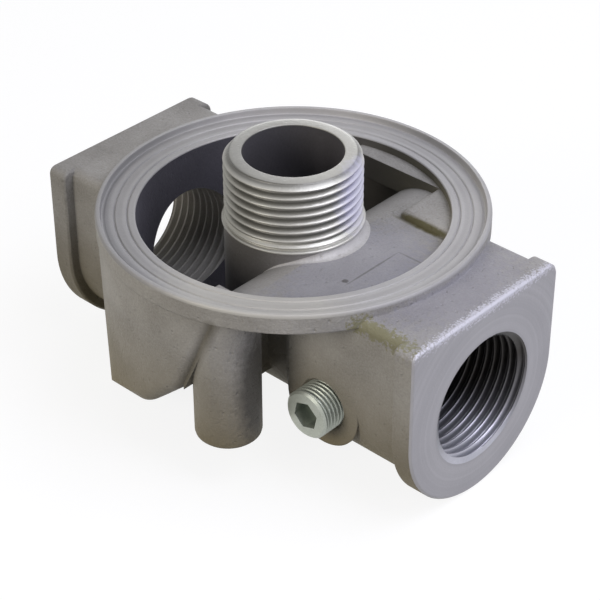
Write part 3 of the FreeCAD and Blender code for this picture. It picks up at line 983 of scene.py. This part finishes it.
@dataclass(frozen=True)
class SealingRing:
    """The turned top of the ring, with its lip, land and two fine grooves."""

    columns: int = 360
    groove_radii: tuple = (31.5, 33.9)
    groove_half_width: float = 0.26
    groove_depth: float = 0.28
    valley_r: float = 36.05
    valley_half: float = 0.5
    valley_depth: float = 0.12
    swell_r: float = 34.9
    swell_half: float = 0.9
    swell_height: float = 0.05
    lip_lead: float = 0.22
    lip_blend: float = 0.3
    inner_round: float = 0.3
    outer_drop: float = 0.7
    edge_points: int = 8
    land_points: int = 150
    lip_points: int = 24
    rim_points: int = 10

    def stations(self) -> Array:
        """Choose the radii of the points, closest together at the edges, grooves and lip.

        Returns:
            The radii, from the opening out to the rim.
        """
        edge_in = SIZES.opening_r + self.inner_round * (1.0 - np.cos(quarter(self.edge_points)))
        land = np.linspace(SIZES.opening_r + self.inner_round, SIZES.lip_inner_r, self.land_points)
        lip = np.linspace(SIZES.lip_inner_r, SIZES.ring_r - SIZES.ring_edge, self.lip_points)
        edge_out = SIZES.ring_r - SIZES.ring_edge * (1.0 - np.sin(quarter(self.rim_points)))
        return np.concatenate([edge_in, land[1:], lip[1:], edge_out[1:]])

    def height(self, radius: Array) -> Array:
        """Work out the height at each radius.

        It's the land's height, less a V at each groove and a soft valley at the lip's foot, plus a
        low swell and the lip's eased rise, less a quarter round at the opening and an ellipse's
        quarter at the rim.

        Args:
            radius: Distance from the nipple's axis at each point.

        Returns:
            The height at each point.
        """
        rise = smooth_step((radius - SIZES.lip_inner_r + self.lip_lead) / self.lip_blend)
        height = SIZES.land_z * (1.0 - rise)
        for groove_r in self.groove_radii:
            away = np.abs(radius - groove_r) / self.groove_half_width
            height -= self.groove_depth * np.clip(1.0 - away, 0.0, 1.0)
        height -= self.valley_depth * hump((radius - self.valley_r) / self.valley_half)
        height += self.swell_height * hump((radius - self.swell_r) / self.swell_half)
        near = np.clip((SIZES.opening_r + self.inner_round - radius) / self.inner_round, 0.0, 1.0)
        height -= self.inner_round * (1.0 - np.sqrt(1.0 - near * near))
        beyond = np.clip((radius - SIZES.ring_r) / SIZES.ring_edge + 1.0, 0.0, 1.0)
        return height - self.outer_drop * (1.0 - np.sqrt(1.0 - beyond * beyond))

    def shell(self) -> Shell:
        """Work out the ring's top.

        Returns:
            The surface from the opening's edge to the rim, facing up.
        """
        radius, about = all_round(self.stations(), self.columns)
        return grid_shell(revolve_z(radius, self.height(radius), about), False)


@dataclass(frozen=True)
class PortThread:
    """One port's inside thread, from its mouth to its end."""

    side: int
    columns: int = 280
    stations: int = 210
    mouth_slope: float = 3.0
    face_runout: float = 0.05
    axis_runout: float = 1.0
    outlet_runout: float = 1.2
    inlet_runout: float = 0.15

    def inner_end(self, angle: Array) -> Array:
        """Find where the bore ends: flat in the outlet, the chamber's round wall at the inlet.

        Args:
            angle: Angle about the ports' axis at each point, in radians.

        Returns:
            The x of the bore's end at each point.
        """
        if self.side > 0:
            return np.full_like(angle, SIZES.outlet_thread_end_x)
        across = SIZES.port_minor_r * np.cos(angle)
        return -np.sqrt(SIZES.opening_r**2 - across**2)

    def shell(self) -> Shell:
        """Work out the threaded bore.

        The radius is the minor one plus the thread's depth times its height, held outside the
        mouth's steep cone, and each ring of points lies part of the way from the face to the inner
        end. The outlet's thread runs out over a pitch. The inlet's is cut right through the wall.

        Returns:
            The surface, facing the axis.
        """
        face = self.side * SIZES.port_face_x
        helix = Helix(SIZES.pipe_pitch, SIZES.pipe_depth, face, 0.0, self.face_runout, self.axis_runout)
        part, about = all_round(np.linspace(0.0, 1.0, self.stations), self.columns)
        end = self.inner_end(about)
        along = face + (end - face) * part
        runout = self.outlet_runout if self.side > 0 else self.inlet_runout
        strength = helix.strength(along) * smooth_step(np.abs(along - end) / runout)
        radius = SIZES.port_minor_r + strength * helix.depth * helix.height(along, about)
        mouth = SIZES.port_mouth_r - self.mouth_slope * np.abs(along - face)
        return grid_shell(revolve_port(np.maximum(radius, mouth), along, about), self.side < 0)


@dataclass(frozen=True)
class FootFillet:
    """The cast fillet between the chamber's floor and the foot of the nipple's pipe."""

    angles: int = 150
    arc_points: int = 12
    half_angle: float = 76.0
    taper: float = 18.0
    widest_at: float = 6.0
    widest_half: float = 62.0
    least_r: float = 0.45
    extra_r: float = 1.5
    least_share: float = 0.03
    roll_limit: float = 0.9

    def floor_height(self, x: Array) -> Array:
        """Give the floor's height: flat, then a circle's arc that rolls down towards the inlet."""
        rolled = np.clip(SIZES.floor_roll_x - x, 0.0, SIZES.floor_roll_r * self.roll_limit)
        return SIZES.floor_z - SIZES.floor_roll_r + np.sqrt(SIZES.floor_roll_r**2 - rolled**2)

    def shell(self) -> Shell:
        """Work out the fillet.

        Across, it's a quarter round from the pipe's side to the floor. Its radius is a least one plus
        a soft hump about the outlet's side, and it tapers to almost nothing at both ends.

        Returns:
            The strip, facing up and outwards.
        """
        degrees = np.linspace(-self.half_angle, self.half_angle, self.angles)
        size = self.least_r + self.extra_r * hump((degrees - self.widest_at) / self.widest_half)
        full = smooth_step((self.half_angle - np.abs(degrees)) / self.taper)
        size *= self.least_share + (1.0 - self.least_share) * full
        part, about = np.meshgrid(quarter(self.arc_points), np.radians(degrees), indexing="ij")
        radius = SIZES.pipe_r + size * (1.0 - np.cos(part))
        height = self.floor_height(radius * np.cos(about)) + size * (1.0 - np.sin(part))
        return grid_shell(revolve_z(radius, height, about), False, False)


@dataclass
class HeadCasting:
    """The casting: a copy of the solid's mesh without its thread blanks, with regions for finishes.

    The first sizes are tolerances for telling the solid's surfaces apart: near is for a blank's
    bounds, tight for the points of one edge, and loose for a wall.
    """

    near: float = 0.03
    tight: float = 0.01
    loose: float = 0.1
    roll_reach: float = 8.0
    face_reach: float = 0.45
    bore_reach: float = 0.05
    duct_start_x: float = -1.0
    duct_r: float = 12.1
    upright: float = 0.1
    steep: float = 0.5
    facing: float = 0.9
    copy: CadCopy = field(default_factory=lambda: CadCopy("head_casting"))

    def cut_blanks(self) -> None:
        """Take the places that have surfaces of their own out of the copy, and lower the ring's edges."""
        corners, normals, near = self.copy.corners(), self.copy.normals(), self.near
        reach, height = radius_about_z(corners), corners[..., 2]
        turned = (reach > SIZES.bore_r - near) & (reach < SIZES.collar_r + near)
        turned = (turned & (height > SIZES.collar_z - near)).all(axis=1)
        inside = (reach < SIZES.bore_r + near).all(axis=1)
        nipple = turned & ~inside & (normals[:, 2] > -self.steep)
        ring = ((reach > SIZES.opening_r - near) & (height > SIZES.land_z - near)).all(axis=1)
        port_reach = radius_about_port(corners)
        in_port = (port_reach > SIZES.port_minor_r - near) & (port_reach < SIZES.port_mouth_r + near)
        deep = np.abs(corners[..., 0]) > SIZES.outlet_thread_end_x - near
        deep |= (corners[..., 0] < 0.0) & (reach > SIZES.opening_r - near)
        ports = (in_port & deep).all(axis=1) & (np.abs(normals[:, 0]) < self.facing)
        self.copy.remove(nipple | ring | ports)
        self.lower_edge(SIZES.opening_r, SIZES.land_z, SealingRing.inner_round)
        self.lower_edge(SIZES.ring_r, -SIZES.ring_edge, SealingRing.outer_drop - SIZES.ring_edge)

    def lower_edge(self, radius: float, height: float, drop: float) -> None:
        """Lower the points of one round edge, so that the ring's own rounded edge meets the wall.

        Args:
            radius: The edge's distance from the nipple's axis.
            height: The edge's height.
            drop: How far it goes down.
        """
        points = self.copy.points / MM
        on_edge = np.abs(radius_about_z(points) - radius) < self.tight
        on_edge &= np.abs(points[:, 2] - height) < self.tight
        self.copy.points[on_edge, 2] -= drop * MM

    def in_chamber(self, centre: Array) -> Array:
        """Tell which places bound the inlet chamber: in the opening, on the inlet side of its slope.

        Args:
            centre: The middle of each triangle, in millimetres.

        Returns:
            True for each triangle of the chamber.
        """
        x, z = centre[:, 0], centre[:, 2]
        heights = (SIZES.bottom_z, SIZES.knee_z, SIZES.floor_z)
        slope_x = np.interp(z, heights, (SIZES.foot_x, SIZES.knee_x, SIZES.floor_edge_x))
        low = (z < SIZES.floor_z - self.loose) & (z > SIZES.bottom_z - 2.0 * self.loose)
        within = radius_about_z(centre) < SIZES.opening_r + self.loose
        return low & within & (x < slope_x + self.roll_reach)

    def regions(self) -> Array:
        """Choose each triangle's finish from its place and the way it faces.

        Returns:
            One region number for each triangle.
        """
        normals = self.copy.normals()
        centre = self.copy.corners().mean(axis=1)
        reach, port_reach = radius_about_z(centre), radius_about_port(centre)
        x, z = centre[:, 0], centre[:, 2]
        chosen = np.full(len(centre), Region.SKIN.value)
        chosen[self.in_chamber(centre)] = Region.INSIDE.value
        wall = (np.abs(reach - SIZES.opening_r) < self.loose) & (np.abs(normals[:, 2]) < self.upright)
        ledge = np.abs(np.abs(centre[:, 1]) - SIZES.ledge_y) < self.loose
        chosen[wall | (ledge & (np.abs(normals[:, 1]) > self.facing))] = Region.WALL.value
        pipe = (reach < SIZES.pipe_r + self.loose) & (z < SIZES.collar_z + self.loose)
        chosen[pipe & (np.abs(normals[:, 2]) < self.steep)] = Region.PIPE.value
        chosen[np.abs(x) > SIZES.port_face_x - self.face_reach] = Region.MILLED.value
        down = (reach < SIZES.bore_r + self.bore_reach) & (z > SIZES.port_axis_z - SIZES.port_minor_r)
        duct = (x > self.duct_start_x) & (x < SIZES.outlet_thread_end_x + self.loose)
        chosen[down | (duct & (port_reach < self.duct_r))] = Region.BORE.value
        return chosen

    def build(self, materials: dict) -> list:
        """Make the casting and its threads.

        Args:
            materials: The materials by finish name.

        Returns:
            The new pieces.
        """
        self.cut_blanks()
        casting = Shell(self.copy.points, self.copy.faces.tolist(), self.regions()).to_object("casting")
        for finish in (CAST_SKIN, MILLED, CAST_INSIDE, BORE, CAST_PIPE, SHADED_WALL):
            casting.data.materials.append(materials[finish.name])
        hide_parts("head_casting")
        pieces = [casting]
        for name, thread, finish in (
            ("sealing_ring", SealingRing(), TURNED),
            ("nipple_thread", NippleThread(), THREAD),
            ("foot_fillet", FootFillet(), LIT_FILLET),
            ("outlet_thread", PortThread(1), PORT_THREAD),
            ("inlet_thread", PortThread(-1), LIT_INLET_THREAD),
        ):
            made = thread.shell().to_object(name, sharp_angle=60.0)
            made.data.materials.append(materials[finish.name])
            pieces.append(made)
        for piece in pieces:
            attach(piece, "root")
        return pieces


@dataclass(frozen=True)
class SocketPlug:
    """The plug: a copy of the solid's mesh with its thread cut on the outside, in millimetres."""

    x: float = 24.2
    z: float = -25.1
    face_y: float = -23.0
    edge: float = 0.45
    major_r: float = 4.86
    pitch: float = 0.907
    depth: float = 0.581
    columns: int = 160
    stations: int = 72
    runout: float = 0.25
    tight: float = 0.01

    def build(self, materials: dict) -> list:
        """Make the plug and its thread, whose radius is the outside one less the helix's cut.

        Args:
            materials: The materials by finish name.

        Returns:
            The new pieces.
        """
        copy = CadCopy("socket_plug")
        corners = copy.corners()
        reach = np.hypot(corners[..., 0] - self.x, corners[..., 2] - self.z)
        blank = np.abs(reach - self.major_r) < self.tight
        end_y = float(corners[..., 1][blank].max())
        copy.remove(blank.all(axis=1))
        body = Shell(copy.points, copy.faces.tolist()).to_object("plug_body")
        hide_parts("socket_plug")
        start_y = self.face_y + self.edge
        helix = Helix(self.pitch, self.depth, start_y, end_y, self.runout, self.runout)
        along, about = all_round(np.linspace(start_y, end_y, self.stations), self.columns)
        radius = self.major_r - helix.cut(along, about)
        x, z = self.x + radius * np.sin(about), self.z + radius * np.cos(about)
        thread = grid_shell(np.stack([x, along, z], axis=-1), True)
        pieces = [body, thread.to_object("plug_thread", sharp_angle=60.0)]
        for piece in pieces:
            piece.data.materials.append(materials[ZINC.name])
            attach(piece, "root")
        return pieces


@dataclass(frozen=True)
class Lamp:
    """A square soft lamp that faces the object: its place and side in metres, its power in watts."""

    name: str
    place: Triple
    side: float
    power: float
    colour: Triple

    def build(self) -> None:
        """Add the lamp to the scene."""
        data = bpy.data.lights.new(self.name, "AREA")
        data.size = self.side
        data.energy = self.power
        data.color = self.colour
        lamp = bpy.data.objects.new(self.name, data)
        lamp.location = self.place
        lamp.rotation_mode = "QUATERNION"
        lamp.rotation_quaternion = Vector(self.place).to_track_quat("Z", "Y")
        bpy.context.scene.collection.objects.link(lamp)


LAMPS = (
    Lamp("top_light", place=(0.27, 0.10, 0.49), side=0.42, power=2.3, colour=(0.85, 0.87, 1.0)),
    Lamp("front_light", place=(-0.15, -0.95, 0.35), side=0.5, power=4.8, colour=(1.0, 0.94, 0.84)),
    Lamp("right_light", place=(0.95, 0.10, 0.3), side=0.5, power=2.8, colour=(0.82, 0.83, 1.0)),
    Lamp("back_light", place=(-0.62, 0.78, 0.12), side=0.5, power=2.0, colour=(0.96, 0.97, 1.0)),
)
WHITE = (1.0, 1.0, 1.0, 1.0)


@dataclass(frozen=True)
class Studio:
    """The floor, the light and the camera, with angles in degrees and lens and sensor in millimetres."""

    eye: Triple = (0.212962, -0.227850, 0.193325)
    azimuth: float = 42.8515
    elevation: float = 34.69
    roll: float = -0.16877
    lens: float = 116.383
    sensor: float = 36.0
    nearest: float = 0.01
    farthest: float = 20.0
    fill_colour: tuple = (0.97, 0.97, 1.0, 1.0)
    fill_strength: float = 0.2
    floor_half: float = 3.0
    floor_colour: tuple = (0.18, 0.18, 0.18, 1.0)
    floor_glow: float = 0.86

    def camera(self) -> None:
        """Place the camera by the viewing angle found from the photograph."""
        data = bpy.data.cameras.new("camera")
        data.lens = self.lens
        data.sensor_width = self.sensor
        data.clip_start = self.nearest
        data.clip_end = self.farthest
        camera = bpy.data.objects.new("camera", data)
        bpy.context.scene.collection.objects.link(camera)
        place = Matrix.Translation(self.eye)
        for angle, axis in ((self.azimuth, "Z"), (90.0 - self.elevation, "X"), (self.roll, "Z")):
            place @= Matrix.Rotation(math.radians(angle), 4, axis)
        camera.matrix_world = place
        bpy.context.scene.camera = camera

    @staticmethod
    def shows_background(graph: Graph) -> Socket:
        """Tell which rays see the white background: the camera's, mirrored and passed ones.

        Args:
            graph: The world's or a material's graph.

        Returns:
            1 for those rays and 0 for the others.
        """
        path = graph.add("ShaderNodeLightPath")
        seen = graph.math("MAXIMUM", path.outputs["Is Camera Ray"], path.outputs["Is Glossy Ray"])
        return graph.math("MAXIMUM", seen, path.outputs["Is Transmission Ray"])

    def world(self) -> None:
        """Light everything softly, and show white behind the object."""
        world = bpy.data.worlds.new("studio")
        bpy.context.scene.world = world
        world.use_nodes = True
        graph, nodes = Graph(world.node_tree), world.node_tree.nodes
        light = nodes["Background"]
        graph.fill(light, Color=self.fill_colour, Strength=self.fill_strength)
        white = graph.add("ShaderNodeBackground", Color=WHITE, Strength=1.0)
        seen = self.shows_background(graph)
        choice = graph.add("ShaderNodeMixShader", seen, light.outputs[0], white.outputs[0])
        graph.fill(nodes["World Output"], Surface=choice.outputs[0])

    def floor(self) -> None:
        """Make the pale floor just under the lowest point of the object."""
        half, low_z = self.floor_half, CAD_BOX[0][2]
        corners = [(-half, -half, low_z), (half, -half, low_z), (half, half, low_z), (-half, half, low_z)]
        floor = Shell(np.array(corners), [[0, 1, 2, 3]]).to_object("floor")
        material = bpy.data.materials.new("pale_floor")
        material.use_nodes = True
        graph, nodes = Graph(material.node_tree), material.node_tree.nodes
        shader = nodes["Principled BSDF"]
        graph.fill(shader, Base_Color=self.floor_colour, Roughness=1.0, Specular_IOR_Level=0.0)
        strength = graph.math("MULTIPLY", self.shows_background(graph), self.floor_glow)
        glow = graph.add("ShaderNodeEmission", Color=WHITE, Strength=strength)
        both = graph.add("ShaderNodeAddShader", shader.outputs[0], glow.outputs[0])
        graph.fill(nodes["Material Output"], Surface=both.outputs[0])
        floor.data.materials.append(material)

    def build(self) -> None:
        """Set up the whole studio."""
        self.camera()
        self.world()
        self.floor()
        for lamp in LAMPS:
            lamp.build()
        bpy.context.scene.view_settings.view_transform = "Standard"


def main() -> None:
    """Build the scene's classes in order and report each piece."""
    logging.basicConfig(level=logging.INFO, format="%(name)s: %(message)s")
    effects = Effects()
    finishes = (
        CAST_SKIN, CAST_INSIDE, SHADED_WALL, CAST_PIPE, LIT_FILLET, BORE, TURNED, MILLED, THREAD,
        PORT_THREAD, LIT_INLET_THREAD, ZINC,
    )
    materials = {finish.name: finish.make(effects) for finish in finishes}
    for group in (HeadCasting(), SocketPlug()):
        for piece in group.build(materials):
            LOG.info("%s: %d faces", piece.name, len(piece.data.polygons))
    Studio().build()


if __name__ == "__main__":
    main()
